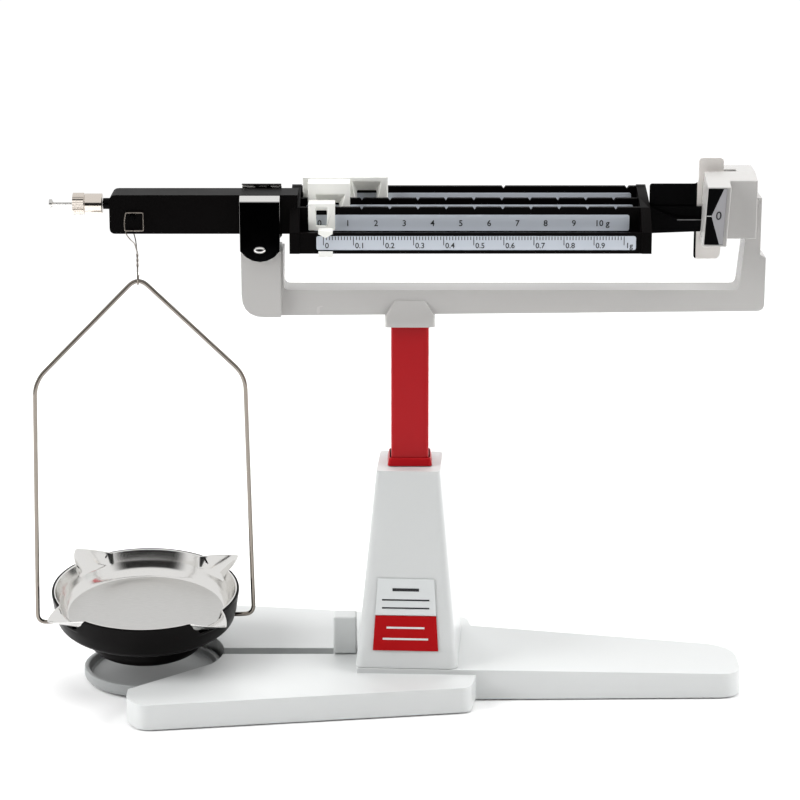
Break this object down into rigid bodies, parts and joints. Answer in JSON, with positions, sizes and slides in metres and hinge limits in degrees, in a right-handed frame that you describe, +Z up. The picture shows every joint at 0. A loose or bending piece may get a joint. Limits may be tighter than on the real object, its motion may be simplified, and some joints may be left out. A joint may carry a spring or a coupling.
{
  "type": "four-beam laboratory balance",
  "caption": "Tabletop laboratory balance: notched beams with sliding weights on a knife edge, hanging pan, magnetic damper and zero pointer.",
  "frame": {"origin": "on the table, on the axis of the column, at the underside of the centre pad", "axes": "+X along the beam away from the pan, +Z up, -Y is the side that carries the scales"},
  "size_m": [0.3847, 0.1616, 0.2845],
  "materials": {
    "white_paint": "satin white enamel on die casting",
    "grey_paint": "smooth pale grey enamel on die casting",
    "red_paint": "satin red enamel",
    "black_paint": "semi-gloss black enamel",
    "white_weight": "glossy white enamel on cast zinc",
    "black_plastic": "satin moulded black plastic",
    "scale_face": "printed pale blue-grey strip with black graduations",
    "label_grey": "printed pale grey film",
    "label_red": "printed red film",
    "stainless": "polished and brushed stainless steel",
    "mirror_plate": "mirror-polished plate",
    "nickel": "nickel-plated turned brass",
    "dark_steel": "hardened dark steel",
    "rubber": "black rubber"
  },
  "bodies": {
    "stand": {"base_casting": "white_paint", "spill_dish": "white_paint", "hub_block": "white_paint", "pad_centre": "rubber", "pad_front_left": "rubber", "pad_rear_left": "rubber", "pad_front": "rubber", "pad_rear": "rubber", "pad_right": "rubber", "column_housing": "white_paint", "label_lower": "label_red", "label_upper": "label_grey", "post": "red_paint", "post_collar": "red_paint", "tie_rod": "stainless", "tie_nut": "stainless", "yoke_casting": "grey_paint", "bearing_front": "dark_steel", "bearing_rear": "dark_steel", "cover_front": "mirror_plate", "cover_rear": "mirror_plate", "damper_block": "grey_paint", "magnet_front": "dark_steel", "magnet_rear": "dark_steel", "damper_screw": "stainless", "zero_plate": "black_paint"},
    "beam": {"beam_casting": "black_paint", "scale_200g": "scale_face", "scale_100g": "scale_face", "scale_10g": "scale_face", "scale_1g": "scale_face", "fulcrum_knife": "stainless", "pan_knife": "dark_steel", "damping_vane": "mirror_plate", "pointer": "black_paint", "tare_rod": "stainless", "tare_neck": "black_paint"},
    "poise_200g": {"poise_200g": "white_weight"},
    "poise_100g": {"poise_100g": "white_weight"},
    "poise_10g": {"poise_10g": "white_weight"},
    "poise_1g": {"poise_1g": "white_weight"},
    "tare_weight": {"tare_barrel": "nickel", "tare_collar": "nickel"},
    "stirrup": {"stirrup": "stainless"},
    "bail": {"bail": "stainless"},
    "pan_support": {"pan_support": "black_plastic", "ballast": "dark_steel"},
    "pan": {"pan": "stainless"}
  },
  "joints": [
    {"name": "beam_tilt", "type": "hinge", "parent": "stand", "child": "beam", "pos_m": [-0.077, 0, 0.2549], "axis": [0, -1, 0], "range_deg": [-2, 2]},
    {"name": "poise_200g_slide", "type": "slide", "parent": "beam", "child": "poise_200g", "axis": [1, 0, 0], "range_m": [0, 0.1295]},
    {"name": "poise_100g_slide", "type": "slide", "parent": "beam", "child": "poise_100g", "axis": [1, 0, 0], "range_m": [0, 0.1457]},
    {"name": "poise_10g_slide", "type": "slide", "parent": "beam", "child": "poise_10g", "axis": [1, 0, 0], "range_m": [0, 0.1457]},
    {"name": "poise_1g_slide", "type": "slide", "parent": "beam", "child": "poise_1g", "axis": [1, 0, 0], "range_m": [0, 0.1539]},
    {"name": "tare_travel", "type": "slide", "parent": "beam", "child": "tare_weight", "axis": [-1, 0, 0], "range_m": [0, 0.009]},
    {"name": "stirrup_swing", "type": "hinge", "parent": "beam", "child": "stirrup", "pos_m": [-0.143, 0, 0.257], "axis": [0, 1, 0], "range_deg": [-8, 8]},
    {"name": "bail_swing", "type": "hinge", "parent": "stirrup", "child": "bail", "pos_m": [-0.142, 0, 0.2183], "axis": [0.9925, 0.1219, 0], "range_deg": [-6, 6]},
    {"name": "support_tip", "type": "hinge", "parent": "bail", "child": "pan_support", "pos_m": [-0.142, 0, 0.0335], "axis": [0.9925, 0.1219, 0], "range_deg": [-10, 10]},
    {"name": "pan_lift", "type": "slide", "parent": "pan_support", "child": "pan", "axis": [0.0159, -0.1296, 0.9914], "range_m": [0, 0.04]}
  ]
}
